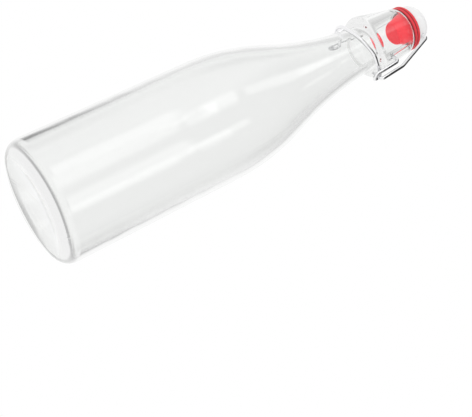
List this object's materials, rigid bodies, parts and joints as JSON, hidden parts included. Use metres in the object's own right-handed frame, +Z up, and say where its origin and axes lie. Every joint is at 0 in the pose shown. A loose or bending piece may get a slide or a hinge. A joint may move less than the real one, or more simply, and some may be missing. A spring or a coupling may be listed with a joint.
{
  "type": "swing top bottle",
  "caption": "Clear glass bottle with a swing top: a lever wire and a bail wire clamp a domed cap and its rubber gasket onto the mouth.",
  "frame": {"origin": "centre of the foot ring, on the plane the bottle stands on", "axes": "+Z up the bottle's axis to the mouth, -Y towards the front of the lever, X along the lever's pivots"},
  "size_m": [0.07, 0.07, 0.2659],
  "materials": {
    "glass": "clear, glossy",
    "wire": "bright drawn wire",
    "cap": "glossy white",
    "gasket": "smooth red"
  },
  "bodies": {
    "bottle": {"bottle": "glass"},
    "lever": {"lever": "wire"},
    "bail": {"bail": "wire"},
    "stopper": {"stopper": "cap", "gasket": "gasket"}
  },
  "joints": [
    {"name": "lever_swing", "type": "hinge", "parent": "bottle", "child": "lever", "pos_m": [0, 0, 0.2277], "axis": [-1, 0, 0], "range_deg": [0, 90]},
    {"name": "bail_swing", "type": "hinge", "parent": "lever", "child": "bail", "pos_m": [0, 0.0042, 0.2123], "axis": [1, 0, 0], "range_deg": [0, 61]},
    {"name": "stopper_swing", "type": "hinge", "parent": "bail", "child": "stopper", "pos_m": [0, 0, 0.25625], "axis": [1, 0, 0], "range_deg": [0, 29.5]}
  ],
  "couplings": [
    {"joint": "bail_swing", "follows": "lever_swing", "ratio": 0.675},
    {"joint": "stopper_swing", "follows": "lever_swing", "ratio": 0.325}
  ]
}
